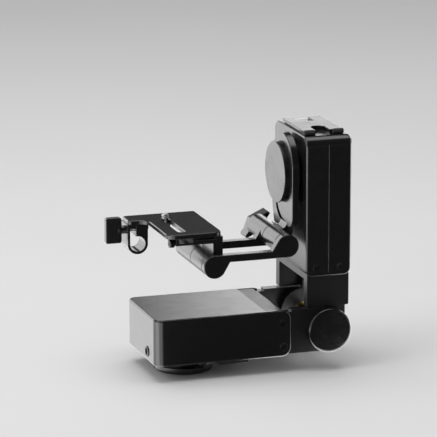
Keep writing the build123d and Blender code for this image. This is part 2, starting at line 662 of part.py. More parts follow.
with BuildPart() as upright_frame:
    with BuildSketch(side(UFRAME_LEFT)):
        with Locations((0, (FOOT_Z + UFRAME_TOP) / 2)):
            block = Rectangle(2 * FRAME_HALF, UFRAME_TOP - FOOT_Z)
        fillet(block.vertices().group_by(Axis.Y)[-1], END_R - INSET)
    extrude(amount=UFRAME_RIGHT - UFRAME_LEFT)
    fillet(upright_frame.edges().filter_by(Axis.Y).group_by(Axis.Z)[0], 1.5)
    # open fork below the deck, and the gear bay above it
    with BuildSketch(level(FOOT_Z - 1)):
        with Locations(((UFRAME_LEFT - 2 + RIGHT_WALL_IN) / 2, 0)):
            Rectangle(RIGHT_WALL_IN - UFRAME_LEFT + 2, 2 * LEG_IN)
    extrude(amount=DECK_BOTTOM - FOOT_Z + 1, mode=Mode.SUBTRACT)
    with BuildSketch(side(LEFT_WALL_IN)):
        with Locations((0, (DECK_TOP + UFRAME_TOP - FRAME_WALL) / 2)):
            Rectangle(2 * (FRAME_HALF - 7), UFRAME_TOP - FRAME_WALL - DECK_TOP)
    extrude(amount=UFRAME_RIGHT - FRAME_WALL - LEFT_WALL_IN, mode=Mode.SUBTRACT)
    with BuildSketch(side(UFRAME_RIGHT - FRAME_WALL - 1)):
        with Locations((0, 162)):
            RectangleRounded(68, 104, 4)
    extrude(amount=FRAME_WALL + 2, mode=Mode.SUBTRACT)
    # two ears that sit between the base's cheeks
    for ear_y in (-EAR_OUT, EAR_IN):
        with BuildSketch(across(ear_y)):
            with Locations((UPRIGHT_MID_X, HINGE_Z)):
                Circle(HINGE_R)
            with Locations(((UPRIGHT_MID_X + UFRAME_RIGHT) / 2, (HINGE_Z + FOOT_Z + 8) / 2)):
                Rectangle(UFRAME_RIGHT - UPRIGHT_MID_X, FOOT_Z + 8 - HINGE_Z)
            with Locations((UPRIGHT_MID_X, HINGE_Z)):
                Circle(BUSH_OUT, mode=Mode.SUBTRACT)
        extrude(amount=EAR_THICK, dir=BACKWARD)
    for foot_y in (-LEG_IN, EAR_IN):
        with BuildSketch(across(foot_y)):
            with Locations(((UPRIGHT_MID_X + UFRAME_RIGHT) / 2, FOOT_Z + 4)):
                Rectangle(UFRAME_RIGHT - UPRIGHT_MID_X, 8)
        extrude(amount=LEG_IN - EAR_IN, dir=BACKWARD)
    # bearing boss and posts on the left wall
    with BuildSketch(side(LEFT_WALL_IN)):
        with Locations((0, TILT_Z)):
            Circle(18)
    extrude(amount=TILT_BOSS_END - LEFT_WALL_IN)
    with BuildSketch(side(TILT_BEARING_X)):
        with Locations((0, TILT_Z)):
            Circle(TILT_BEARING_R)
    extrude(amount=BEARING_H, mode=Mode.SUBTRACT)
    with BuildSketch(side(UFRAME_LEFT)):
        with Locations((0, TILT_Z)):
            Circle(TILT_LIP_R)
    extrude(amount=3, mode=Mode.SUBTRACT)
    with BuildSketch(side(LEFT_WALL_IN)):
        with Locations(*tilt_motor_posts):
            Circle(3.5)
    extrude(amount=TILT_BRACKET_X - LEFT_WALL_IN)
    with BuildSketch(side(LEFT_WALL_IN)):
        with Locations(*uboard_posts):
            Circle(3)
    extrude(amount=UBOARD_X - LEFT_WALL_IN)
    for edge_y in (-FRAME_HALF, FRAME_HALF - 7):
        with BuildSketch(across(edge_y)):
            with Locations(*[(x, UPRIGHT_SCREW_Z) for x in UPRIGHT_SCREW_XS]):
                Circle(COVER_SCREW_SHANK)
        extrude(amount=7, dir=BACKWARD, mode=Mode.SUBTRACT)
    # seat for the power button in the rear leg
    with BuildSketch(across(FRAME_HALF - 5)):
        with Locations((UPRIGHT_MID_X, 76)):
            Circle(5.1)
    extrude(amount=6, dir=BACKWARD, mode=Mode.SUBTRACT)
keep(upright_frame.part, "upright_frame")

upright_seats = []
for facing in (-1, 1):
    for x in UPRIGHT_SCREW_XS:
        seat_y = facing * FRAME_HALF
        upright_seats.append(Plane(origin=(x, seat_y, UPRIGHT_SCREW_Z), x_dir=(1, 0, 0), z_dir=(0, facing, 0)))
screws("upright_cover_screws", upright_seats, COVER_SCREW_R, INSET - 0.2, COVER_SCREW_SHANK, 6.5)

with BuildPart() as fold_bushes:
    for bush_y in (-EAR_OUT, EAR_IN):
        with BuildSketch(across(bush_y)):
            with Locations((UPRIGHT_MID_X, HINGE_Z)):
                Circle(BUSH_OUT)
                Circle(PIN_R + RUNNING_GAP, mode=Mode.SUBTRACT)
        extrude(amount=EAR_THICK, dir=BACKWARD)
keep(fold_bushes.part, "fold_bushes")

with BuildPart() as tilt_bearing:
    with BuildSketch(side(TILT_BEARING_X)):
        with Locations((0, TILT_Z)):
            Circle(TILT_BEARING_R)
            Circle(TILT_SHAFT_R + RUNNING_GAP, mode=Mode.SUBTRACT)
    extrude(amount=BEARING_H)
keep(tilt_bearing.part, "tilt_bearing")

with BuildPart() as tilt_motor_bracket:
    with BuildSketch(side(TILT_BRACKET_X)):
        with Locations((0, 142)):
            RectangleRounded(66, 38, 5)
        with Locations((0, TILT_MOTOR_Z)):
            Circle(4.5, mode=Mode.SUBTRACT)
    extrude(amount=BRACKET_H)
keep(tilt_motor_bracket.part, "tilt_motor_bracket")

TILT_MOTOR_X = TILT_BRACKET_X + BRACKET_H
with BuildPart() as tilt_motor:
    with BuildSketch(side(TILT_MOTOR_X)):
        with Locations((0, TILT_MOTOR_Z)):
            Circle(MOTOR_R)
    extrude(amount=14)
    fillet(tilt_motor.faces().sort_by(Axis.X)[-1].edges(), 1.5)
    with BuildSketch(side(TILT_MOTOR_X)):
        with Locations((0, TILT_MOTOR_Z)):
            Circle(MOTOR_SHAFT_R + RUNNING_GAP)
    extrude(amount=5, mode=Mode.SUBTRACT)
keep(tilt_motor.part, "tilt_motor")

with BuildPart() as tilt_pinion:
    with BuildSketch(Plane(origin=(TILT_GEAR_X, 0, TILT_MOTOR_Z), x_dir=(0, 1, 0), z_dir=(1, 0, 0))):
        with BuildLine():
            Polyline(*gear_points(PINION_TEETH, 90), close=True)
        make_face()
    extrude(amount=GEAR_THICK)
    with BuildSketch(side(TILT_GEAR_X)):
        with Locations((0, TILT_MOTOR_Z)):
            Circle(MOTOR_SHAFT_R)
    extrude(amount=TILT_MOTOR_X + 4.5 - TILT_GEAR_X)
keep(tilt_pinion.part, "tilt_pinion")

with BuildPart() as upright_board:
    with BuildSketch(side(UBOARD_X)):
        with Locations((0, 193)):
            RectangleRounded(76, 54, 2)
    extrude(amount=1.6)
    with BuildSketch(side(UBOARD_X + 1.6)):
        with Locations((-14, 200), (16, 186)):
            Rectangle(12, 12)
        with Locations((14, 206), (26, 206), (-10, 180)):
            Rectangle(7, 5)
    extrude(amount=1.5)
keep(upright_board.part, "upright_board")

BUTTON_R = 4.9
BUTTON_OUT = FRAME_HALF + 1.2
with BuildPart() as power_button:
    with BuildSketch(across(FRAME_HALF - 3.8)):
        with Locations((UPRIGHT_MID_X, 76)):
            Circle(BUTTON_R)
    extrude(amount=BUTTON_OUT - FRAME_HALF + 3.8, dir=BACKWARD)
    fillet(power_button.faces().sort_by(Axis.Y)[-1].edges(), 0.6)
keep(power_button.part, "power_button")

# ---- accessory rail on top -------------------------------------------------------

RAIL_LIP = 2.2
RAIL_NECK = 2.0
STOP_R = 2.5
STOP_LONG = 10.6
RAIL_LEFT = RAIL_MID_X - RAIL_WIDE / 2
RAIL_TOP = UPRIGHT_TOP + RAIL_H

with BuildPart() as accessory_rail:
    with BuildSketch(across(RAIL_FRONT)):
        with Locations((RAIL_MID_X, UPRIGHT_TOP + (RAIL_H - RAIL_LIP) / 2)):
            Rectangle(RAIL_WIDE - 2 * RAIL_NECK, RAIL_H - RAIL_LIP)
        with Locations((RAIL_MID_X, RAIL_TOP - RAIL_LIP / 2)):
            Rectangle(RAIL_WIDE, RAIL_LIP)
    extrude(amount=RAIL_BACK - RAIL_FRONT, dir=BACKWARD)
    # square notch at the back, round-ended notch at the front
    with BuildSketch(level(UPRIGHT_TOP)):
        with Locations((RAIL_MID_X - 1.5, RAIL_BACK - 7.5)):
            RectangleRounded(15.5, 15 + 8, 1.5)
        with Locations((RAIL_MID_X, RAIL_FRONT + 6.5)):
            Rectangle(14, 13 + 0.1)
        with Locations((RAIL_MID_X, RAIL_FRONT + 13)):
            Circle(7)
    extrude(amount=RAIL_H, mode=Mode.SUBTRACT)
    fillet(accessory_rail.edges().filter_by(Axis.Z).filter_by_position(Axis.Y, RAIL_BACK - 0.1, RAIL_BACK + 0.1), 1.2)
    chamfer(accessory_rail.faces().sort_by(Axis.Z)[-1].edges(), 0.4)
    # flats at the front corners for the stop pins
    with BuildSketch(across(RAIL_FRONT)):
        with Locations((RAIL_MID_X, UPRIGHT_TOP + 3)):
            Rectangle(RAIL_WIDE + 2, 6.2)
    extrude(amount=0.6, dir=BACKWARD, mode=Mode.SUBTRACT)
keep(accessory_rail.part, "accessory_rail")

with BuildPart() as rail_stop_pins:
    for pin_x in (RAIL_LEFT - 0.5, RAIL_LEFT + RAIL_WIDE - STOP_LONG + 0.5):
        with BuildSketch(side(pin_x)):
            with Locations((RAIL_FRONT - STOP_R + 0.5, UPRIGHT_TOP + STOP_R)):
                Circle(STOP_R)
        extrude(amount=STOP_LONG)
    chamfer(rail_stop_pins.edges().filter_by(GeomType.CIRCLE), 0.5)
keep(rail_stop_pins.part, "rail_stop_pins")

# ---- battery plate on the outer side ------------------------------------------------

BATTERY_LOW = 99.0
BAY_PITCH = BATTERY_LONG + 1.5
PLATE_X = UPRIGHT_RIGHT
BACK_PLATE = 3.0
RAIL_OUT = 8.5
bay_mids = [BATTERY_LOW + 2 + BATTERY_LONG / 2, BATTERY_LOW + 2 + BATTERY_LONG / 2 + BAY_PITCH]
BATTERY_MID = sum(bay_mids) / 2
BATTERY_TALL = BATTERY_LONG + BAY_PITCH + 4

with BuildPart() as battery_plate:
    with BuildSketch(side(PLATE_X)):
        with Locations((0, BATTERY_MID)):
            RectangleRounded(BATTERY_WIDE + 8, BATTERY_TALL, 3)
    extrude(amount=RAIL_OUT)
    for middle in bay_mids:
        # open channel for the battery, with a hooked lip on both sides
        with BuildSketch(side(PLATE_X + BACK_PLATE)):
            with Locations((0, middle)):
                Rectangle(BATTERY_WIDE, BATTERY_LONG)
        extrude(amount=3.5, mode=Mode.SUBTRACT)
        with BuildSketch(side(PLATE_X + BACK_PLATE)):
            with Locations((0, middle)):
                Rectangle(BATTERY_WIDE - 3, BATTERY_LONG)
        extrude(amount=RAIL_OUT, mode=Mode.SUBTRACT)
        # slot for the contacts and pocket for the latch
        with BuildSketch(side(PLATE_X + 1)):
            with Locations((0, middle + 22)):
                Rectangle(16, 5)
            with Locations((12, middle - 21)):
                Rectangle(7.2, 12.2)
        extrude(amount=5, mode=Mode.SUBTRACT)
    chamfer(battery_plate.faces().sort_by(Axis.X)[-1].edges(), 0.5)
keep(battery_plate.part, "battery_plate")

with BuildPart() as battery_contacts:
    for middle in bay_mids:
        with BuildSketch(side(PLATE_X + 1)):
            with Locations(*[(-6 + 4 * i, middle + 22) for i in range(4)]):
                Rectangle(1.2, 4)
        extrude(amount=4)
keep(battery_contacts.part, "battery_contacts")

for name, middle in (("lower_battery_latch", bay_mids[0]), ("upper_battery_latch", bay_mids[1])):
    with BuildPart() as latch:
        with BuildSketch(side(PLATE_X + 1.1)):
            with Locations((12, middle - 19.6)):
                Rectangle(7, 9)
        extrude(amount=3.2)
        with BuildSketch(side(PLATE_X + 4.3)):
            with Locations((12, middle - 20.6), (12, middle - 18.6), (12, middle - 22.6)):
                Rectangle(6, 0.8)
        extrude(amount=0.6)
    keep(latch.part, name)

# ---- tilt axle, flange, gear and knob --------------------------------------------------

STUD_R = 6.0
with BuildPart() as tilt_shaft:
    with BuildSketch(side(FLANGE_X)):
        with Locations((0, TILT_Z)):
            Circle(TILT_SHAFT_R)
    extrude(amount=TILT_GEAR_X + GEAR_THICK + 5 - FLANGE_X)
    with BuildSketch(side(TILT_KNOB_FACE_X + 1.6)):
        with Locations((0, TILT_Z)):
            Circle(STUD_R)
    extrude(amount=FLANGE_X - TILT_KNOB_FACE_X - 1.6)
    with BuildSketch(side(TILT_GEAR_X)):
        with Locations((0, TILT_Z)):
            Circle(3.5)
    extrude(amount=20, mode=Mode.SUBTRACT)
keep(tilt_shaft.part, "tilt_shaft")

with BuildPart() as tilt_flange:
    with BuildSketch(side(FLANGE_X)):
        with Locations((0, TILT_Z)):
            Circle(FLANGE_R)
            Circle(TILT_SHAFT_R, mode=Mode.SUBTRACT)
    extrude(amount=UPRIGHT_LEFT - 0.6 - FLANGE_X)
    chamfer(tilt_flange.edges().filter_by(GeomType.CIRCLE).group_by(SortBy.RADIUS)[-1], 0.5)
keep(tilt_flange.part, "tilt_flange")

with BuildPart() as tilt_gear:
    with BuildSketch(Plane(origin=(TILT_GEAR_X, 0, TILT_Z), x_dir=(0, 1, 0), z_dir=(1, 0, 0))):
        with BuildLine():
            Polyline(*gear_points(GEAR_TEETH, -90 + 180 / GEAR_TEETH), close=True)
        make_face()
        Circle(TILT_SHAFT_R, mode=Mode.SUBTRACT)
        with PolarLocations(20, 6):
            Circle(5, mode=Mode.SUBTRACT)
    extrude(amount=GEAR_THICK)
keep(tilt_gear.part, "tilt_gear")

with BuildPart() as tilt_retainer:
    with BuildSketch(side(TILT_GEAR_X + GEAR_THICK)):
        with Locations((0, TILT_Z)):
            Circle(12)
            Circle(TILT_SHAFT_R, mode=Mode.SUBTRACT)
    extrude(amount=3)
keep(tilt_retainer.part, "tilt_retainer")

KNOB_RIM = 1.2
FLUTES = 96
with BuildPart() as tilt_knob:
    with BuildSketch(side(TILT_KNOB_FACE_X)):
        with Locations((0, TILT_Z)):
            Circle(TILT_KNOB_R)
    extrude(amount=HANGER_X - 0.2 - TILT_KNOB_FACE_X)
    fillet(tilt_knob.faces().sort_by(Axis.X)[0].edges(), 0.6)
    # the back tier is a little smaller and carries fine flutes
    with BuildSketch(side(TILT_KNOB_FACE_X + KNOB_RIM)):
        with Locations((0, TILT_Z)):
            Circle(TILT_KNOB_R + 1)
            Circle(TILT_KNOB_R - 1.0, mode=Mode.SUBTRACT)
    extrude(amount=6, mode=Mode.SUBTRACT)
    with BuildSketch(Plane(origin=(TILT_KNOB_FACE_X + KNOB_RIM, 0, TILT_Z), x_dir=(0, 1, 0), z_dir=(1, 0, 0))):
        with PolarLocations(TILT_KNOB_R - 0.9, FLUTES):
            Circle(0.5)
    extrude(amount=6, mode=Mode.SUBTRACT)
    with BuildSketch(side(TILT_KNOB_FACE_X + 1.5)):
        with Locations((0, TILT_Z)):
            Circle(STUD_R + RUNNING_GAP)
    extrude(amount=8, mode=Mode.SUBTRACT)
keep(tilt_knob.part, "tilt_knob")

# ---- hanger: plate, curved neck and knuckle ------------------------------------------------

FOOT_TOP_Z = 147.0
FOOT_Z_LOW = 137.0
TAIL_FRONT_Y = -22.0
TAIL_BACK_Y = 15.8
TAIL_Z = 133.2
WAIST_Z = 151.0
GROOVE_R = 20.8
GROOVE_MID = (-9.0, 160.0)
HORN_MID = (-16.8, 166.9)
HORN_R = 25.7
GROOVE_DEEP = 5.0

with BuildPart() as hanger:
    # plate with a half-round top, cut back at the front of its foot
    front_y = HANGER_MID_Y - HANGER_R
    back_y = HANGER_MID_Y + HANGER_R
    with BuildSketch(side(HANGER_X)):
        with BuildLine():
            Polyline(
                (TAIL_FRONT_Y, FOOT_Z_LOW),
                (TAIL_FRONT_Y, TAIL_Z),
                (TAIL_BACK_Y, TAIL_Z),
                (back_y, WAIST_Z),
                (back_y, HANGER_MID_Z),
            )
            ThreePointArc((back_y, HANGER_MID_Z), (HANGER_MID_Y, HANGER_MID_Z + HANGER_R), (front_y, HANGER_MID_Z))
            Line((front_y, HANGER_MID_Z), (front_y, FOOT_TOP_Z))
            JernArc((front_y, FOOT_TOP_Z), (0, -1), FOOT_TOP_Z - FOOT_Z_LOW, 90)
            Line((front_y + FOOT_TOP_Z - FOOT_Z_LOW, FOOT_Z_LOW), (TAIL_FRONT_Y, FOOT_Z_LOW))
        make_face()
    extrude(amount=HANGER_THICK)
    chamfer(hanger.faces().sort_by(Axis.X)[0].edges(), 0.5)
    # neck from the plate's tail to the knuckle, blended into both on its left side
    with BuildSketch(across(TAIL_FRONT_Y)):
        with BuildLine():
            ThreePointArc(
                (SHOULDER_X + 0.8, SHOULDER_Z + BARREL_R - 0.05),
                (HANGER_X - 1.76, SHOULDER_Z + 12.72),
                (HANGER_X, SHOULDER_Z + 16.96),
            )
            Polyline(
                (HANGER_X, SHOULDER_Z + 16.96),
                (FLANGE_X - 0.2, SHOULDER_Z + 16.96),
                (FLANGE_X - 0.2, SHOULDER_Z + 6.0),
                (SHOULDER_X + 10.0, SHOULDER_Z + 1.0),
                (SHOULDER_X, SHOULDER_Z),
                (SHOULDER_X + 0.8, SHOULDER_Z + BARREL_R - 0.05),
            )
        make_face()
    extrude(amount=KNUCKLE_BACK - TAIL_FRONT_Y, dir=BACKWARD)
    with BuildSketch(across(KNUCKLE_FRONT)):
        with Locations((SHOULDER_X, SHOULDER_Z)):
            Circle(BARREL_R)
    extrude(amount=KNUCKLE_BACK - KNUCKLE_FRONT, dir=BACKWARD)
    with BuildSketch(across(KNUCKLE_FRONT)):
        with Locations((SHOULDER_X, SHOULDER_Z)):
            Circle(BARREL_R + 1)
            Circle(BARREL_R - SEAM_DEEP, mode=Mode.SUBTRACT)
    extrude(amount=SEAM_WIDE, dir=BACKWARD, mode=Mode.SUBTRACT)
    with BuildSketch(across(KNUCKLE_FRONT)):
        with Locations((SHOULDER_X, SHOULDER_Z)):
            Circle(BOLT_R + RUNNING_GAP)
    extrude(amount=KNUCKLE_BACK - KNUCKLE_FRONT, dir=BACKWARD, mode=Mode.SUBTRACT)
    with BuildSketch(side(HANGER_X)):
        with Locations((0, TILT_Z)):
            Circle(STUD_R)
    extrude(amount=HANGER_THICK, mode=Mode.SUBTRACT)
    # crescent below the knob, tapering towards the front
    with BuildSketch(side(HANGER_X)):
        with Locations(GROOVE_MID):
            Circle(GROOVE_R)
        with Locations(HORN_MID):
            Circle(HORN_R, mode=Mode.SUBTRACT)
    extrude(amount=GROOVE_DEEP, mode=Mode.SUBTRACT)
keep(hanger.part, "hanger")

# ---- swing arm: two bars tied by two clamp bolts ------------------------------------------------

BAR_TOP = WRIST_Z + BARREL_R
BAR_BOTTOM = SHOULDER_Z - BARREL_R
BEND_R = 8.0


def bar_outline():
    """Side view of one bar, from the wrist eye's top to the shoulder eye's bottom."""
    with BuildSketch(Plane.XZ) as outline:
        with BuildLine():
            Polyline(
                (WRIST_X, WRIST_Z),
                (WRIST_X, BAR_TOP),
                (SHOULDER_X - 15.5, BAR_TOP),
                (SHOULDER_X - 9.5, SHOULDER_Z + 5.5),
                (SHOULDER_X, SHOULDER_Z),
                (SHOULDER_X, BAR_BOTTOM),
                (WRIST_X + 15.0, BAR_BOTTOM),
                (WRIST_X + 9.5, WRIST_Z - 5.5),
                close=True,
            )
        make_face()
        bends = outline.vertices().filter_by_position(Axis.Z, BAR_TOP - 0.1, BAR_TOP + 0.1).sort_by(Axis.X)[-1:]
        bends += outline.vertices().filter_by_position(Axis.Z, BAR_BOTTOM - 0.1, BAR_BOTTOM + 0.1).sort_by(Axis.X)[:1]
        fillet(bends, BEND_R)
    return outline.sketch


bar_shape = bar_outline()

with BuildPart() as near_arm_bar:
    with BuildSketch(across(ARM_FRONT_Y)):
        add(bar_shape)
        with Locations((WRIST_X, WRIST_Z), (SHOULDER_X, SHOULDER_Z)):
            Circle(BARREL_R)
    extrude(amount=ARM_BAR, dir=BACKWARD)
    with BuildSketch(across(ARM_FRONT_Y + 3)):
        with Locations((WRIST_X, WRIST_Z), (SHOULDER_X, SHOULDER_Z)):
            Circle(BOLT_R)
    extrude(amount=ARM_BAR, dir=BACKWARD, mode=Mode.SUBTRACT)
    chamfer(near_arm_bar.faces().sort_by(Axis.Y)[0].edges(), 0.5)
keep(near_arm_bar.part, "near_arm_bar")

with BuildPart() as far_arm_bar:
    with BuildSketch(across(FAR_BAR_FRONT)):
        add(bar_shape)
    extrude(amount=ARM_BAR, dir=BACKWARD)
    with BuildSketch(across(SLEEVE_FRONT)):
        with Locations((WRIST_X, WRIST_Z), (SHOULDER_X, SHOULDER_Z)):
            Circle(BARREL_R)
    extrude(amount=SLEEVE_LONG, dir=BACKWARD)
    # groove where the sleeve meets the knuckle in front of it
    with BuildSketch(across(SLEEVE_FRONT)):
        with Locations((WRIST_X, WRIST_Z), (SHOULDER_X, SHOULDER_Z)):
            Circle(BARREL_R + 1)
            Circle(BARREL_R - SEAM_DEEP, mode=Mode.SUBTRACT)
    extrude(amount=SEAM_WIDE, dir=BACKWARD, mode=Mode.SUBTRACT)
    with BuildSketch(across(SLEEVE_FRONT)):
        with Locations((WRIST_X, WRIST_Z), (SHOULDER_X, SHOULDER_Z)):
            Circle(BOLT_R)
    extrude(amount=SLEEVE_LONG, dir=BACKWARD, mode=Mode.SUBTRACT)
keep(far_arm_bar.part, "far_arm_bar")

BOLT_END = LEVER_FRONT + LEVER_DEEP - 5
with BuildPart() as arm_bolts:
    with BuildSketch(across(ARM_FRONT_Y + 3)):
        with Locations((WRIST_X, WRIST_Z), (SHOULDER_X, SHOULDER_Z)):
            Circle(BOLT_R)
    extrude(amount=BOLT_END - ARM_FRONT_Y - 3, dir=BACKWARD)
keep(arm_bolts.part, "arm_bolts")

lever_spots = (
    ("shoulder_lever", SHOULDER_X, SHOULDER_Z, 48.0),
    ("wrist_lever", WRIST_X, WRIST_Z, 130.0),
)
for name, lever_x, lever_z, turn in lever_spots:
    with BuildPart() as lever:
        long_way = (cos(radians(turn)), 0, sin(radians(turn)))
        place = Plane(origin=(lever_x, LEVER_FRONT, lever_z), x_dir=long_way, z_dir=(0, -1, 0))
        with BuildSketch(place) as wings:
            with BuildLine():
                half = LEVER_LONG / 2
                wide = LEVER_WIDE / 2
                Polyline(
                    (0.4, wide), (half, 0), (half - 0.9, -2.3), (10.3, -2.9),
                    (-0.4, -wide), (-half, 0), (0.9 - half, 2.3), (-10.3, 2.9),
                    close=True,
                )
            make_face()
            fillet(wings.vertices(), 0.9)
        extrude(amount=LEVER_DEEP, dir=BACKWARD)
        chamfer(lever.faces().sort_by(Axis.Y)[-1].edges(), 0.8)
        with BuildSketch(place):
            Circle(BOLT_R + RUNNING_GAP)
        extrude(amount=BOLT_END + 0.5 - LEVER_FRONT, dir=BACKWARD, mode=Mode.SUBTRACT)
    keep(lever.part, name)

# ---- plate carrier: knuckle, leg and slide block --------------------------------------------------

BLOCK_LEFT = -19.0
BLOCK_BOTTOM = 130.0
LEG_LEFT = WRIST_X + 0.6
KEY_LEFT = 1.0
KEY_RIGHT = 19.0
KEY_DEEP = 2.6
KEY_FLARE = 1.6
HEAD_R = 6.0
SLIDE_GAP = 0.05
LOCK_Y = -33.0
LOCK_Z = 131.6
LOCK_R = 2.0


def key_points(gap):
    """Dovetail cross-section under the camera plate, grown by gap for its groove."""
    top = PLATE_BOTTOM
    bottom = PLATE_BOTTOM - KEY_DEEP - gap
    return [
        (KEY_LEFT - gap, top),
        (KEY_LEFT - KEY_FLARE - gap, bottom),
        (KEY_RIGHT + KEY_FLARE + gap, bottom),
        (KEY_RIGHT + gap, top),
    ]


with BuildPart() as plate_carrier:
    with BuildSketch(across(KNUCKLE_FRONT)):
        with Locations((WRIST_X, WRIST_Z)):
            Circle(BARREL_R)
        with Locations(((LEG_LEFT + PLATE_RIGHT) / 2, (WRIST_Z + BLOCK_BOTTOM + 2) / 2)):
            Rectangle(PLATE_RIGHT - LEG_LEFT, BLOCK_BOTTOM + 2 - WRIST_Z)
        with Locations(((BLOCK_LEFT + PLATE_RIGHT) / 2, (BLOCK_BOTTOM + PLATE_BOTTOM - SLIDE_GAP) / 2)):
            Rectangle(PLATE_RIGHT - BLOCK_LEFT, PLATE_BOTTOM - SLIDE_GAP - BLOCK_BOTTOM)
        with Locations((WRIST_X, WRIST_Z)):
            Circle(BOLT_R + RUNNING_GAP, mode=Mode.SUBTRACT)
        with BuildLine():
            Polyline(*key_points(SLIDE_GAP), close=True)
        make_face(mode=Mode.SUBTRACT)
        # channel for the camera screw's head
        with Locations((SLOT_X, PLATE_BOTTOM)):
            Rectangle(2 * HEAD_R + 1.5, 9, mode=Mode.SUBTRACT)
    extrude(amount=KNUCKLE_BACK - KNUCKLE_FRONT, dir=BACKWARD)
    with BuildSketch(side(BLOCK_LEFT)):
        with Locations((LOCK_Y, LOCK_Z)):
            Circle(LOCK_R + RUNNING_GAP)
    extrude(amount=5, mode=Mode.SUBTRACT)
    with BuildSketch(across(KNUCKLE_FRONT)):
        with Locations((WRIST_X, WRIST_Z)):
            Circle(BARREL_R + 1)
            Circle(BARREL_R - SEAM_DEEP, mode=Mode.SUBTRACT)
    extrude(amount=SEAM_WIDE, dir=BACKWARD, mode=Mode.SUBTRACT)
keep(plate_carrier.part, "plate_carrier")

with BuildPart() as plate_lock_screw:
    with BuildSketch(side(BLOCK_LEFT - 5.2)):
        with Locations((LOCK_Y, LOCK_Z)):
            Circle(4)
    extrude(amount=5)
    chamfer(plate_lock_screw.edges().filter_by(GeomType.CIRCLE), 0.5)
    with BuildSketch(side(BLOCK_LEFT - 0.2)):
        with Locations((LOCK_Y, LOCK_Z)):
            Circle(LOCK_R)
    extrude(amount=4.8)
    with BuildSketch(side(BLOCK_LEFT - 5.2)):
        with Locations((LOCK_Y, LOCK_Z)):
            Rectangle(9, 1.0)
    extrude(amount=1.2, mode=Mode.SUBTRACT)
keep(plate_lock_screw.part, "plate_lock_screw")

# ---- camera plate, its screw and the rod clamp ----------------------------------------------------

with BuildPart() as camera_plate:
    with BuildSketch(level(PLATE_BOTTOM)) as deck:
        with BuildLine():
            Polyline(
                (PLATE_LEFT, PLATE_FRONT),
                (PLATE_RIGHT, PLATE_FRONT),
                (PLATE_RIGHT, PLATE_BACK),
                (TONGUE_LEFT, PLATE_BACK),
                (TONGUE_LEFT, TONGUE_FRONT),
                (PLATE_LEFT, TONGUE_FRONT),
                close=True,
            )
        make_face()
        corners = deck.vertices().filter_by_position(Axis.X, PLATE_LEFT - 1, PLATE_RIGHT + 1)
        fillet(corners.sort_by(Axis.Y)[:2], PLATE_CORNER_R)
        fillet(deck.vertices().sort_by_distance((PLATE_LEFT, TONGUE_FRONT))[0], TONGUE_BEND_R)
        sharp = deck.vertices().filter_by_position(Axis.Y, TONGUE_FRONT, PLATE_BACK)
        fillet([v for v in sharp if v.X > PLATE_RIGHT - 0.1 or v.X < TONGUE_LEFT + 0.1], 3.0)
        with Locations((SLOT_X, (SLOT_FRONT + SLOT_BACK) / 2)):
            SlotOverall(SLOT_BACK - SLOT_FRONT, SLOT_WIDE, rotation=90, mode=Mode.SUBTRACT)
    extrude(amount=PLATE_THICK)
    chamfer(camera_plate.faces().sort_by(Axis.Z)[-1].edges(), 0.7)
    with BuildSketch(across(PLATE_FRONT + 2)):
        with BuildLine():
            Polyline(*key_points(0), close=True)
        make_face()
    extrude(amount=PLATE_BACK - PLATE_FRONT - 4, dir=BACKWARD)
keep(camera_plate.part, "camera_plate")

with BuildPart() as camera_screw:
    with BuildSketch(Plane(origin=(SLOT_X, SLOT_BACK - SLOT_WIDE / 2, PLATE_BOTTOM - 3.2))):
        Circle(HEAD_R)
    extrude(amount=3)
    with BuildSketch(Plane(origin=(SLOT_X, SLOT_BACK - SLOT_WIDE / 2, PLATE_BOTTOM - 3.2))):
        Circle(CAMERA_SCREW_R)
    extrude(amount=3.2 + PLATE_THICK + CAMERA_SCREW_UP)
    chamfer(camera_screw.faces().sort_by(Axis.Z)[-1].edges(), 0.6)
    # relieved shank, so only the end above the plate is threaded
    with BuildSketch(Plane(origin=(SLOT_X, SLOT_BACK - SLOT_WIDE / 2, PLATE_BOTTOM - 0.2))):
        Circle(CAMERA_SCREW_R + 1)
        Circle(SHANK_R, mode=Mode.SUBTRACT)
    extrude(amount=PLATE_THICK + 0.4, mode=Mode.SUBTRACT)
    with BuildSketch(Plane(origin=(SLOT_X, SLOT_BACK - SLOT_WIDE / 2, PLATE_BOTTOM - 3.2))):
        Rectangle(9, 1.2)
    extrude(amount=1.2, mode=Mode.SUBTRACT)
keep(camera_screw.part, "camera_screw")

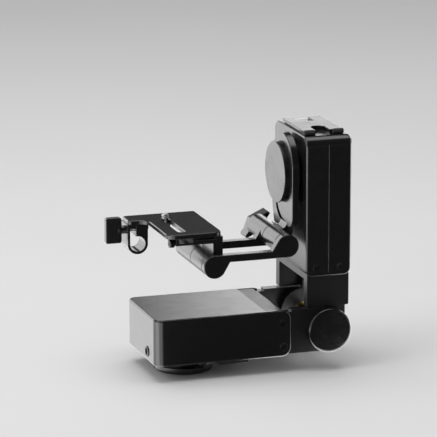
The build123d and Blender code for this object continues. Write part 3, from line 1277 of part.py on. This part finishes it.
LEG_WALL = 2.4
SLIT_RIGHT = ROD_X - 1.5
CLAMP_RIGHT = PLATE_LEFT + 1.5
CLAMP_LEFT = ROD_X - ROD_R - ROD_WALL
with BuildPart() as rod_clamp:
    with BuildSketch(across(TONGUE_FRONT)):
        with Locations((ROD_X, ROD_Z)):
            Circle(ROD_R + ROD_WALL)
        with Locations(((CLAMP_LEFT + CLAMP_RIGHT) / 2, (ROD_Z + PLATE_BOTTOM) / 2)):
            Rectangle(CLAMP_RIGHT - CLAMP_LEFT, PLATE_BOTTOM - ROD_Z)
        with Locations((ROD_X, ROD_Z)):
            Circle(ROD_R, mode=Mode.SUBTRACT)
        # keyhole slit that lets the left leg close on the rod
        with Locations(((CLAMP_LEFT + LEG_WALL + SLIT_RIGHT) / 2, (ROD_Z + PLATE_BOTTOM) / 2 - 1)):
            Rectangle(SLIT_RIGHT - CLAMP_LEFT - LEG_WALL, PLATE_BOTTOM - ROD_Z - 2, mode=Mode.SUBTRACT)
        # the right side leans in towards the ring
        with BuildLine():
            Polyline(
                (CLAMP_RIGHT + 1, ROD_Z - 1),
                (CLAMP_RIGHT + 1, PLATE_BOTTOM - 5),
                (CLAMP_RIGHT - 0.5, PLATE_BOTTOM - 5),
                (ROD_X + ROD_R + ROD_WALL, ROD_Z + 3),
                (ROD_X + ROD_R + ROD_WALL, ROD_Z - 1),
                close=True,
            )
        make_face(mode=Mode.SUBTRACT)
    extrude(amount=PLATE_BACK - TONGUE_FRONT, dir=BACKWARD)
    with BuildSketch(side(CLAMP_LEFT - 1)):
        with Locations((ROD_KNOB_Y, PINCH_Z)):
            Circle(PINCH_R + RUNNING_GAP)
    extrude(amount=15, mode=Mode.SUBTRACT)
keep(rod_clamp.part, "rod_clamp")

ROD_KNOB_LEFT = -65.6
ROD_KNOB_RIGHT = -49.7
ROD_KNOB_TALL = 25.0
ROD_KNOB_DEEP = 6.6
with BuildPart() as rod_knob:
    # flat wing on a round hub
    with BuildSketch(across(ROD_KNOB_Y - ROD_KNOB_DEEP / 2)):
        with Locations(((ROD_KNOB_LEFT + ROD_KNOB_RIGHT) / 2, PINCH_Z)):
            RectangleRounded(ROD_KNOB_RIGHT - ROD_KNOB_LEFT, ROD_KNOB_TALL, 2.0)
    extrude(amount=ROD_KNOB_DEEP, dir=BACKWARD)
    fillet(rod_knob.faces().sort_by(Axis.Y)[0].edges() + rod_knob.faces().sort_by(Axis.Y)[-1].edges(), 0.9)
    with BuildSketch(side(ROD_KNOB_RIGHT - 3)):
        with Locations((ROD_KNOB_Y, PINCH_Z)):
            Circle(4)
    extrude(amount=CLAMP_LEFT - 0.2 - ROD_KNOB_RIGHT + 3)
    with BuildSketch(side(ROD_KNOB_LEFT + 6)):
        with Locations((ROD_KNOB_Y, PINCH_Z)):
            Circle(PINCH_R)
    extrude(amount=20, mode=Mode.SUBTRACT)
keep(rod_knob.part, "rod_knob")

with BuildPart() as rod_knob_screw:
    with BuildSketch(side(ROD_KNOB_LEFT + 6)):
        with Locations((ROD_KNOB_Y, PINCH_Z)):
            Circle(PINCH_R)
    extrude(amount=PINCH_SCREW_END - ROD_KNOB_LEFT - 6)
keep(rod_knob_screw.part, "rod_knob_screw")

# ---- write one file per piece -------------------------------------------------------------------

os.makedirs("parts", exist_ok=True)
for piece in pieces:
    export_step(piece, f"parts/{piece.label}.step")
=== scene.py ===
"""Looks for the motorised pan and tilt head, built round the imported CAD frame."""

import json
from math import asin, cos, pi, radians, sin

import bmesh
import bpy
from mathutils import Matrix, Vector


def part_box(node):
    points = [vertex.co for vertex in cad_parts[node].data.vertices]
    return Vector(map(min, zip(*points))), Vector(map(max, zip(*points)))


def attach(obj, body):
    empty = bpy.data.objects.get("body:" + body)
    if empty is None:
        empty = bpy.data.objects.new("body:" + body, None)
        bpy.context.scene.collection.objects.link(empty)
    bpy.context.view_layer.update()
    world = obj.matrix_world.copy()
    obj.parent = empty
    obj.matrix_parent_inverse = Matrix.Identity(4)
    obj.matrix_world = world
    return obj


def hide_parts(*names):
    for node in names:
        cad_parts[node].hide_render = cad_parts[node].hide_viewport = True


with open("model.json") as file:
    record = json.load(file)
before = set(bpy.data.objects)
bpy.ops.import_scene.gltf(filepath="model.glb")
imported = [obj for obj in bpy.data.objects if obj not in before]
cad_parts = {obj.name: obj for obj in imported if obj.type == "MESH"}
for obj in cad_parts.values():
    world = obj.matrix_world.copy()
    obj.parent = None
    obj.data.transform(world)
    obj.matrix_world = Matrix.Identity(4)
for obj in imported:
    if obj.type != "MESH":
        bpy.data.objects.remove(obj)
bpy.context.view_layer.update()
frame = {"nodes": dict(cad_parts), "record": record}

nodes = frame["nodes"]

# ---- camera, floor and light sizes, in metres and degrees -----------------------

CAMERA_AZIMUTH = -17.9
CAMERA_ELEVATION = 13.6
CAMERA_DISTANCE = 3.33
CAMERA_LENS = 288.6  # millimetres
CAMERA_FAR = 100.0
AIM = Vector((0.0359, 0.0020, 0.1434))
FLOOR_REACH = 30.0  # from the middle to each edge
FLOOR_GREY = 0.62
WORLD_GREY = 0.55
WORLD_STRENGTH = 0.75
BACK_Y = 1.5  # the cards that stand behind the head
LEFT_X = -1.6  # the cards that stand to its left
RIGHT_X = 1.6  # the card that stands to its right
NEAR_HEAD = 0.03  # how far left of the head's middle the left floor cards stop
FLAG_HEIGHT = 0.0005  # floor cards that overlap lie at different heights
LOW_HEIGHT = 0.0010
TOP_HEIGHT = 0.0015
LAMP_AIM = (0.05, 0, 0.1)
FADE_START = 0.12  # share of its full strength that a fading card starts at

# ---- camera screw, in metres ------------------------------------------------------

HEAD_TALL = 0.0030
HEAD_RIM = 0.0004
HEAD_SLOT_DEEP = 0.0012
HEAD_SLOT_HALF = 0.0006
THREAD_FROM = 0.0074  # above the head's underside
CORE_R = 0.0026
CREST_R = 0.003175
THREAD_PITCH = 0.00127
RUN_IN = 0.0006
RUN_OUT = 0.0011
ROWS_PER_TURN = 8
AROUND = 48
CREST_CUT = 1.25  # above 1, so that the crest is cut flat
SHARP_ANGLE = radians(35)  # edges sharper than this stay hard in the shading

# ---- shared colours and fine detail ---------------------------------------------

ANODISED = (0.007, 0.007, 0.0076)
ANODISED_IOR = 1.52
WORN_METAL = (0.16, 0.16, 0.165)
WORN_TURNED = (0.2, 0.2, 0.205)
WEAR_RADIUS = 0.0005
WEAR_LEAN = 0.75  # cosine of the lean at which an edge counts as fully worn
TOOL_MARK_PITCH = 0.00022

# where the Mix node keeps its sockets when it blends colours
MIX_SHARE, MIX_FIRST, MIX_SECOND, MIX_RESULT = 0, 6, 7, 2


# ---- small helpers for shader trees ---------------------------------------------


class Shader:
    """A material with a principled shader, and short calls to add nodes to it."""

    def __init__(self, name, colour, metallic, roughness, ior=1.5):
        self.material = bpy.data.materials.new(name)
        self.material.use_nodes = True
        self.tree = self.material.node_tree
        self.surface = self.tree.nodes["Principled BSDF"]
        self.surface.inputs["Base Color"].default_value = (*colour, 1)
        self.surface.inputs["Metallic"].default_value = metallic
        self.surface.inputs["Roughness"].default_value = roughness
        self.surface.inputs["IOR"].default_value = ior
        self.places = self.add("ShaderNodeTexCoord")
        self.normal = None

    def add(self, kind, **values):
        """Add a node; a name such as Scale sets an input, and a lower-case name a property."""
        node = self.tree.nodes.new(kind)
        for name, value in values.items():
            if name[0].isupper():
                self.feed(value, node.inputs[name.replace("_", " ")])
            else:
                setattr(node, name, value)
        return node

    def feed(self, value, socket):
        """Give an input a socket to follow, or a plain value."""
        if isinstance(value, bpy.types.NodeSocket):
            self.tree.links.new(value, socket)
        else:
            socket.default_value = value

    def noise(self, scale, detail=3.0, rough=0.55, stretch=(1, 1, 1)):
        """Noise over the object's own coordinates, from 0 to 1."""
        spot = self.add("ShaderNodeMapping", Vector=self.places.outputs["Object"])
        spot.inputs["Scale"].default_value = stretch
        values = {"Scale": scale, "Detail": detail, "Roughness": rough}
        made = self.add("ShaderNodeTexNoise", Vector=spot.outputs[0], **values)
        return made.outputs["Fac"]

    def maths(self, operation, first, second):
        """One arithmetic node."""
        node = self.add("ShaderNodeMath", operation=operation)
        self.feed(first, node.inputs[0])
        self.feed(second, node.inputs[1])
        return node.outputs[0]

    def spread(self, value, low, high, out_low=0.0, out_high=1.0):
        """Map a value from one range to another, held at its ends."""
        node = self.add("ShaderNodeMapRange", Value=value)
        node.inputs["From Min"].default_value = low
        node.inputs["From Max"].default_value = high
        node.inputs["To Min"].default_value = out_low
        node.inputs["To Max"].default_value = out_high
        return node.outputs[0]

    def mix_colour(self, share, first, second):
        """Blend two colours, each a socket or a plain triple."""
        node = self.add("ShaderNodeMix", data_type="RGBA")
        self.feed(share, node.inputs[MIX_SHARE])
        for value, place in ((first, MIX_FIRST), (second, MIX_SECOND)):
            self.feed((*value, 1) if isinstance(value, tuple) else value, node.inputs[place])
        return node.outputs[MIX_RESULT]

    def soften(self, radius):
        """Round every hard edge in the shading by a small radius."""
        bevel = self.add("ShaderNodeBevel", samples=4, Radius=radius)
        self.normal = bevel.outputs[0]
        self.feed(self.normal, self.surface.inputs["Normal"])

    def bump(self, height, strength, distance):
        """Add one layer of bump over what is there."""
        node = self.add("ShaderNodeBump", Height=height, Strength=strength, Distance=distance)
        if self.normal is not None:
            self.feed(self.normal, node.inputs["Normal"])
        self.normal = node.outputs[0]
        self.feed(self.normal, self.surface.inputs["Normal"])

    def edge_mask(self, radius):
        """Near 1 on outer edges and 0 on flats, from how far a rounded normal leans."""
        bevel = self.add("ShaderNodeBevel", samples=4, Radius=radius)
        flat = self.add("ShaderNodeNewGeometry")
        lean = self.add("ShaderNodeVectorMath", operation="DOT_PRODUCT")
        self.feed(bevel.outputs[0], lean.inputs[0])
        self.feed(flat.outputs["Normal"], lean.inputs[1])
        return self.spread(lean.outputs["Value"], 1.0, WEAR_LEAN)

    def colour(self, value):
        """Drive the base colour from a socket."""
        self.feed(value, self.surface.inputs["Base Color"])

    def roughness(self, value):
        """Drive the roughness from a socket."""
        self.feed(value, self.surface.inputs["Roughness"])


# ---- finishes ---------------------------------------------------------------------


def anodised(name, colour=ANODISED, rough=0.22, grain=0.10):
    """Black anodised aluminium: fine blasted grain, faint handling marks, paler worn edges."""
    finish = Shader(name, colour, 0.0, rough, ANODISED_IOR)
    finish.soften(radius=0.00035)
    pits = finish.noise(scale=5200, detail=2.0)
    finish.bump(pits, strength=grain, distance=0.00004)
    waves = finish.noise(scale=38, detail=2.0, rough=0.4)
    finish.bump(waves, strength=0.05, distance=0.0004)
    marks = finish.noise(scale=60, detail=4.0, rough=0.6, stretch=(1, 1, 2.5))
    scratches = finish.noise(scale=2400, detail=2.0, rough=0.7, stretch=(0.04, 1, 1))
    uneven = finish.maths("ADD", finish.spread(marks, 0.3, 0.7, -0.02, 0.03), rough)
    fine = finish.spread(scratches, 0.64, 0.78, 0.0, 0.02)
    finish.roughness(finish.maths("ADD", uneven, fine))
    worn = finish.maths("MULTIPLY", finish.edge_mask(WEAR_RADIUS), finish.spread(marks, 0.42, 0.62))
    tint = finish.mix_colour(finish.noise(scale=420, detail=3.0), colour, tuple(1.7 * c for c in colour))
    finish.colour(finish.mix_colour(finish.maths("MULTIPLY", worn, 0.35), tint, WORN_METAL))
    return finish


def turned(name, node, axis, rough=0.24):
    """A black lathe-turned face: fine rings about the node's own axis."""
    finish = Shader(name, ANODISED, 0.0, rough, ANODISED_IOR)
    finish.soften(radius=0.0003)
    low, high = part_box(node)
    middle = (low + high) / 2
    from_middle = finish.add("ShaderNodeVectorMath", operation="SUBTRACT")
    finish.feed(finish.places.outputs["Object"], from_middle.inputs[0])
    from_middle.inputs[1].default_value = middle
    flatten = finish.add("ShaderNodeVectorMath", operation="MULTIPLY")
    finish.feed(from_middle.outputs[0], flatten.inputs[0])
    flatten.inputs[1].default_value = [0 if letter == axis else 1 for letter in "xyz"]
    length = finish.add("ShaderNodeVectorMath", operation="LENGTH")
    finish.feed(flatten.outputs[0], length.inputs[0])
    turns = finish.maths("MULTIPLY", length.outputs["Value"], 2 * pi / TOOL_MARK_PITCH)
    rings = finish.maths("SINE", turns, 0.0)
    finish.bump(rings, strength=0.10, distance=0.00002)
    finish.bump(finish.noise(scale=3600, detail=2.0), strength=0.06, distance=0.00003)
    marks = finish.noise(scale=55, detail=4.0, rough=0.6)
    finish.roughness(finish.spread(marks, 0.3, 0.7, rough - 0.03, rough + 0.06))
    worn = finish.maths("MULTIPLY", finish.edge_mask(WEAR_RADIUS), finish.spread(marks, 0.4, 0.6))
    finish.colour(finish.mix_colour(finish.maths("MULTIPLY", worn, 0.4), ANODISED, WORN_TURNED))
    return finish


def plate_top():
    """Camera plate: anodised sides, with a dull rubberised deck where a camera stands."""
    finish = anodised("plate_finish")
    up = finish.add("ShaderNodeSeparateXYZ", Vector=finish.places.outputs["Normal"])
    deck = finish.spread(up.outputs["Z"], 0.93, 0.97)
    speckle = finish.noise(scale=2600, detail=3.0, rough=0.7)
    old_rough = finish.surface.inputs["Roughness"].links[0].from_socket
    old_colour = finish.surface.inputs["Base Color"].links[0].from_socket
    rough = finish.add("ShaderNodeMix")
    finish.feed(deck, rough.inputs[0])
    finish.feed(old_rough, rough.inputs[2])
    finish.feed(finish.spread(speckle, 0.2, 0.8, 0.62, 0.86), rough.inputs[3])
    finish.roughness(rough.outputs[0])
    dull = finish.mix_colour(speckle, (0.007, 0.007, 0.0075), (0.019, 0.019, 0.020))
    finish.colour(finish.mix_colour(deck, old_colour, dull))
    finish.feed(finish.spread(deck, 0, 1, 0.5, 0.08), finish.surface.inputs["Specular IOR Level"])
    finish.bump(finish.maths("MULTIPLY", speckle, deck), strength=0.5, distance=0.00012)
    return finish


def rubber(name):
    """Dull black rubber with a dusty speckle."""
    finish = Shader(name, (0.02, 0.02, 0.02), 0.0, 0.8)
    finish.soften(radius=0.0004)
    speckle = finish.noise(scale=1900, detail=4.0, rough=0.7)
    finish.bump(speckle, strength=0.4, distance=0.00015)
    dust = finish.spread(finish.noise(scale=70, detail=4.0, rough=0.7), 0.5, 0.75)
    finish.colour(finish.mix_colour(dust, (0.013, 0.013, 0.013), (0.045, 0.044, 0.042)))
    finish.roughness(finish.spread(speckle, 0.2, 0.8, 0.65, 0.92))
    return finish


def moulded(name):
    """Black moulded plastic with an even spark-eroded grain."""
    finish = Shader(name, (0.018, 0.018, 0.019), 0.0, 0.5)
    finish.soften(radius=0.0003)
    grain = finish.add("ShaderNodeTexVoronoi", Vector=finish.places.outputs["Object"], Scale=2400.0)
    finish.bump(grain.outputs["Distance"], strength=0.25, distance=0.00008)
    marks = finish.noise(scale=80, detail=4.0, rough=0.6)
    finish.roughness(finish.spread(marks, 0.3, 0.7, 0.42, 0.58))
    finish.colour(finish.mix_colour(marks, (0.014, 0.014, 0.015), (0.026, 0.026, 0.028)))
    return finish


def machined(name, colour, rough, streak=(1, 1, 1)):
    """Bare machined metal with drawn streaks and slight tarnish."""
    finish = Shader(name, colour, 1.0, rough)
    finish.soften(radius=0.0003)
    streaks = finish.noise(scale=1500, detail=3.0, rough=0.6, stretch=streak)
    finish.bump(streaks, strength=0.12, distance=0.00005)
    tarnish = finish.noise(scale=120, detail=4.0, rough=0.6)
    finish.roughness(finish.spread(tarnish, 0.3, 0.7, rough - 0.06, rough + 0.1))
    finish.colour(finish.mix_colour(tarnish, colour, tuple(0.72 * c for c in colour)))
    return finish


def circuit_board(name):
    """Green solder mask with a grid of raised tracks."""
    finish = Shader(name, (0.01, 0.08, 0.03), 0.0, 0.35)
    finish.soften(radius=0.0002)
    cells = finish.add("ShaderNodeTexBrick", Vector=finish.places.outputs["Object"], Scale=160.0)
    cells.inputs["Mortar Size"].default_value = 0.03
    finish.bump(cells.outputs["Fac"], strength=0.3, distance=0.00008)
    mask = finish.mix_colour(cells.outputs["Fac"], (0.008, 0.07, 0.028), (0.02, 0.16, 0.06))
    finish.colour(finish.mix_colour(finish.noise(scale=300), mask, (0.006, 0.05, 0.02)))
    return finish


# ---- pieces made here ---------------------------------------------------------------


def smooth_object(name, mesh, body, finish):
    """Link a mesh as a shaded piece that rides on a CAD body."""
    piece = bpy.data.objects.new(name, mesh)
    bpy.context.scene.collection.objects.link(piece)
    piece.data.materials.append(finish.material)
    for face in mesh.polygons:
        face.use_smooth = True
    mesh.set_sharp_from_angle(angle=SHARP_ANGLE)
    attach(piece, body)
    return piece


def join_rings(mesh, rings):
    """Skin a stack of closed rings of vertices with quads."""
    for lower, upper in zip(rings, rings[1:]):
        for i in range(len(lower)):
            j = (i + 1) % len(lower)
            mesh.faces.new((lower[i], lower[j], upper[j], upper[i]))


def arc_rings(mesh, centre, outline, start, end, steps):
    """One ring of vertices for each radius and height, over the same arc."""
    rings = []
    angles = [start + (end - start) * i / steps for i in range(steps)]
    for radius, height in outline:
        places = [(centre.x + radius * cos(a), centre.y + radius * sin(a), height) for a in angles]
        rings.append([mesh.verts.new(place) for place in places])
    return rings


def thread_ring(mesh, centre, row, height, top, bottom):
    """One ring of the thread; its radius follows a helix that runs in and out at the ends."""
    ring = []
    ends = min(1.0, (top - height) / RUN_OUT, (height - bottom) / RUN_IN)
    for i in range(AROUND):
        angle = 2 * pi * i / AROUND
        phase = (row / ROWS_PER_TURN - i / AROUND) % 1.0
        crest = min(1.0, CREST_CUT * (1 - abs(2 * phase - 1)))
        radius = CORE_R + (CREST_R - CORE_R) * crest * ends
        place = (centre.x + radius * cos(angle), centre.y + radius * sin(angle), height)
        ring.append(mesh.verts.new(place))
    return ring


def threaded_screw(finish):
    """Camera screw with a slotted head, a plain shank and a helical thread, in the CAD screw's place."""
    low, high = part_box("camera_screw")
    centre = (low + high) / 2
    head_r = (high.x - low.x) / 2
    head_top = low.z + HEAD_TALL
    slot_top = low.z + HEAD_SLOT_DEEP
    thread_bottom = low.z + THREAD_FROM
    mesh = bmesh.new()
    outline = [
        (head_r, slot_top),
        (head_r, head_top - HEAD_RIM),
        (head_r - HEAD_RIM, head_top),
        (CORE_R, head_top),
        (CORE_R, thread_bottom),
    ]
    rings = arc_rings(mesh, centre, outline, 0, 2 * pi, AROUND)
    mesh.faces.new(list(reversed(rings[0])))
    rows = int((high.z - thread_bottom) / THREAD_PITCH * ROWS_PER_TURN)
    for row in range(1, rows + 1):
        height = thread_bottom + row * THREAD_PITCH / ROWS_PER_TURN
        rings.append(thread_ring(mesh, centre, row, height, high.z, thread_bottom))
    join_rings(mesh, rings)
    mesh.faces.new(rings[-1])
    # the two halves of the head beside its slot
    lean = asin(HEAD_SLOT_HALF / head_r)
    for turn in (0, pi):
        outline = [(head_r - HEAD_RIM, low.z), (head_r, low.z + HEAD_RIM), (head_r, slot_top)]
        halves = arc_rings(mesh, centre, outline, turn + lean, turn + pi - lean, AROUND // 2)
        join_rings(mesh, halves)
        mesh.faces.new(list(reversed(halves[0])))
        mesh.faces.new(halves[-1])
    data = bpy.data.meshes.new("camera_screw_threaded")
    mesh.normal_update()
    mesh.to_mesh(data)
    mesh.free()
    piece = smooth_object("camera_screw_threaded", data, "camera_screw", finish)
    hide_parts("camera_screw")


# ---- give every CAD node its finish ---------------------------------------------------

shell = anodised("black_shell")
frame_black = anodised("black_frame", colour=(0.0065, 0.0065, 0.007), rough=0.32, grain=0.14)
arm_black = anodised("arm_black", rough=0.21, grain=0.06)
dark_steel = machined("dark_steel", (0.06, 0.06, 0.064), 0.34)
steel = machined("bright_steel", (0.56, 0.56, 0.57), 0.26)
brass = machined("brass", (0.68, 0.48, 0.20), 0.28)
can = machined("motor_can", (0.42, 0.42, 0.43), 0.36, streak=(1, 1, 0.05))
gold = machined("gold_contact", (0.85, 0.60, 0.24), 0.2)
black_rubber = rubber("black_rubber")
plastic = moulded("black_plastic")
board = circuit_board("circuit_board")
deck = plate_top()

by_slot = {
    "black_shell": shell,
    "black_frame": frame_black,
    "black_rubber": black_rubber,
    "black_plastic": plastic,
    "dark_steel": dark_steel,
    "bright_steel": steel,
    "brass": brass,
    "motor_can": can,
    "circuit_board": board,
    "gold_contact": gold,
}
special = {
    "tilt_knob": turned("tilt_knob_turned", "tilt_knob", "x"),
    "fold_knob": turned("fold_knob_turned", "fold_knob", "y"),
    "hinge_cap": turned("hinge_cap_turned", "hinge_cap", "y"),
    "rod_knob": arm_black,
    "mount_disc": turned("mount_disc_turned", "mount_disc", "z"),
    "tilt_flange": turned("tilt_flange_turned", "tilt_flange", "x", rough=0.4),
    "camera_plate": deck,
    "near_arm_bar": arm_black,
    "far_arm_bar": arm_black,
    "shoulder_lever": arm_black,
    "wrist_lever": arm_black,
}
slot_of = {part["node"]: part["material_slot"] for part in frame["record"]["subparts"]}
for name, node in nodes.items():
    finish = special.get(name) or by_slot[slot_of[name]]
    node.data.materials.clear()
    node.data.materials.append(finish.material)

threaded_screw(steel)

# ---- stage ------------------------------------------------------------------------------


def sheet(name, corners, material):
    """A flat sheet with the given corners."""
    data = bpy.data.meshes.new(name)
    data.from_pydata([tuple(c) for c in corners], [], [tuple(range(len(corners)))])
    data.materials.append(material)
    plane = bpy.data.objects.new(name, data)
    bpy.context.scene.collection.objects.link(plane)
    return plane


def glow(name, strength, fade):
    """Emission for a card; fade is two X places between which it grows to full strength."""
    material = bpy.data.materials.new(name)
    material.use_nodes = True
    tree = material.node_tree
    tree.nodes.clear()
    lamp = tree.nodes.new("ShaderNodeEmission")
    lamp.inputs["Strength"].default_value = strength
    if fade:
        places = tree.nodes.new("ShaderNodeTexCoord")
        parts = tree.nodes.new("ShaderNodeSeparateXYZ")
        tree.links.new(places.outputs["Object"], parts.inputs[0])
        ramp = tree.nodes.new("ShaderNodeMapRange")
        tree.links.new(parts.outputs["X"], ramp.inputs["Value"])
        ramp.inputs["From Min"].default_value = fade[0]
        ramp.inputs["From Max"].default_value = fade[1]
        ramp.inputs["To Min"].default_value = FADE_START * strength
        ramp.inputs["To Max"].default_value = strength
        tree.links.new(ramp.outputs[0], lamp.inputs["Strength"])
    out = tree.nodes.new("ShaderNodeOutputMaterial")
    tree.links.new(lamp.outputs[0], out.inputs[0])
    return material


def reflection_card(name, corners, strength, fade=None):
    """A flat card that reflections see, and the camera and diffuse light don't."""
    card = sheet(name, corners, glow(name, strength, fade))
    card.visible_camera = False
    card.visible_diffuse = False
    card.visible_transmission = False
    card.visible_volume_scatter = False
    card.visible_shadow = False


def upright_card(name, start, end, heights, strength, fade=None):
    """A standing card between two floor points and two heights."""
    low, high = heights
    reflection_card(name, [(*start, low), (*end, low), (*end, high), (*start, high)], strength, fade)


def floor_card(name, points, height, strength):
    """A card lying just over the floor."""
    reflection_card(name, [(x, y, height) for x, y in points], strength)


def area_lamp(name, place, size, watts):
    """A soft square lamp aimed at the head."""
    data = bpy.data.lights.new(name, "AREA")
    data.size = size
    data.energy = watts
    lamp = bpy.data.objects.new(name, data)
    lamp.location = place
    lamp.rotation_euler = (Vector(LAMP_AIM) - Vector(place)).to_track_quat("-Z", "Y").to_euler()
    bpy.context.scene.collection.objects.link(lamp)


floor_finish = Shader("floor_paper", (FLOOR_GREY,) * 3, 0.0, 0.9)
floor_finish.bump(floor_finish.noise(scale=700, detail=3.0), strength=0.08, distance=0.0002)
clouds = floor_finish.noise(scale=3.0, detail=2.0)
paper = floor_finish.mix_colour(clouds, (FLOOR_GREY,) * 3, (FLOOR_GREY * 0.96,) * 3)
floor_finish.colour(paper)
floor_finish.surface.inputs["Specular IOR Level"].default_value = 0.0
far = FLOOR_REACH
sheet("floor", [(-far, -far, 0), (far, -far, 0), (far, far, 0), (-far, far, 0)], floor_finish.material)

# what each face of the head mirrors towards the camera: its tops see the back, its left
# sides the floor behind to the left, its rounded front edges the floor to either side
upright_card("back_card", (0.33, BACK_Y), (2.3, BACK_Y), (0.02, 0.66), strength=2.45, fade=(0.36, 0.59))
upright_card("left_back_card", (LEFT_X, BACK_Y), (0.08, BACK_Y), (0.0, 1.0), strength=2.8)
upright_card("left_wall", (LEFT_X, -1.2), (LEFT_X, 1.4), (0.0, 1.4), strength=1.4)
upright_card("right_strip", (RIGHT_X, -0.75), (RIGHT_X, -0.05), (0.0, 1.2), strength=2.2)
left_points = [(-1.5, -0.8), (-NEAR_HEAD, -0.8), (-NEAR_HEAD, 1.4), (-1.5, 1.4)]
left_front_points = [(-NEAR_HEAD, -0.05), (-1.2, -1.1), (-1.5, -0.6), (-1.5, 0.2)]
right_points = [(0.04, -0.03), (1.6, -0.85), (2.2, -0.6), (2.2, 1.5), (0.9, 1.5), (0.25, 0.12)]
flag_points = [(-0.05, -3.0), (2.2, -3.0), (2.2, -0.06), (-0.05, -0.06)]
floor_card("left_card", left_points, LOW_HEIGHT, strength=2.3)
floor_card("left_front_card", left_front_points, TOP_HEIGHT, strength=5.0)
floor_card("right_card", right_points, TOP_HEIGHT, strength=4.5)
# the flag keeps the front faces black
floor_card("front_flag", flag_points, FLAG_HEIGHT, strength=0.015)

area_lamp("top_softbox", (0.0, 0.3, 2.2), size=2.0, watts=42)
area_lamp("left_softbox", (-1.8, -0.4, 1.6), size=1.2, watts=16)

world = bpy.data.worlds.new("studio")
bpy.context.scene.world = world
world.use_nodes = True
sky = world.node_tree.nodes["Background"]
sky.inputs["Color"].default_value = (WORLD_GREY, WORLD_GREY, WORLD_GREY, 1)
sky.inputs["Strength"].default_value = WORLD_STRENGTH
world.cycles_visibility.glossy = False

# ---- camera -------------------------------------------------------------------------------

lens = bpy.data.cameras.new("camera")
lens.lens = CAMERA_LENS
lens.clip_end = CAMERA_FAR
camera = bpy.data.objects.new("camera", lens)
azimuth, elevation = radians(CAMERA_AZIMUTH), radians(CAMERA_ELEVATION)
towards_camera = Vector((sin(azimuth) * cos(elevation), -cos(azimuth) * cos(elevation), sin(elevation)))
camera.location = AIM + CAMERA_DISTANCE * towards_camera
camera.rotation_euler = (pi / 2 - elevation, 0, azimuth)
bpy.context.scene.collection.objects.link(camera)
bpy.context.scene.camera = camera
bpy.context.scene.view_settings.view_transform = "Standard"
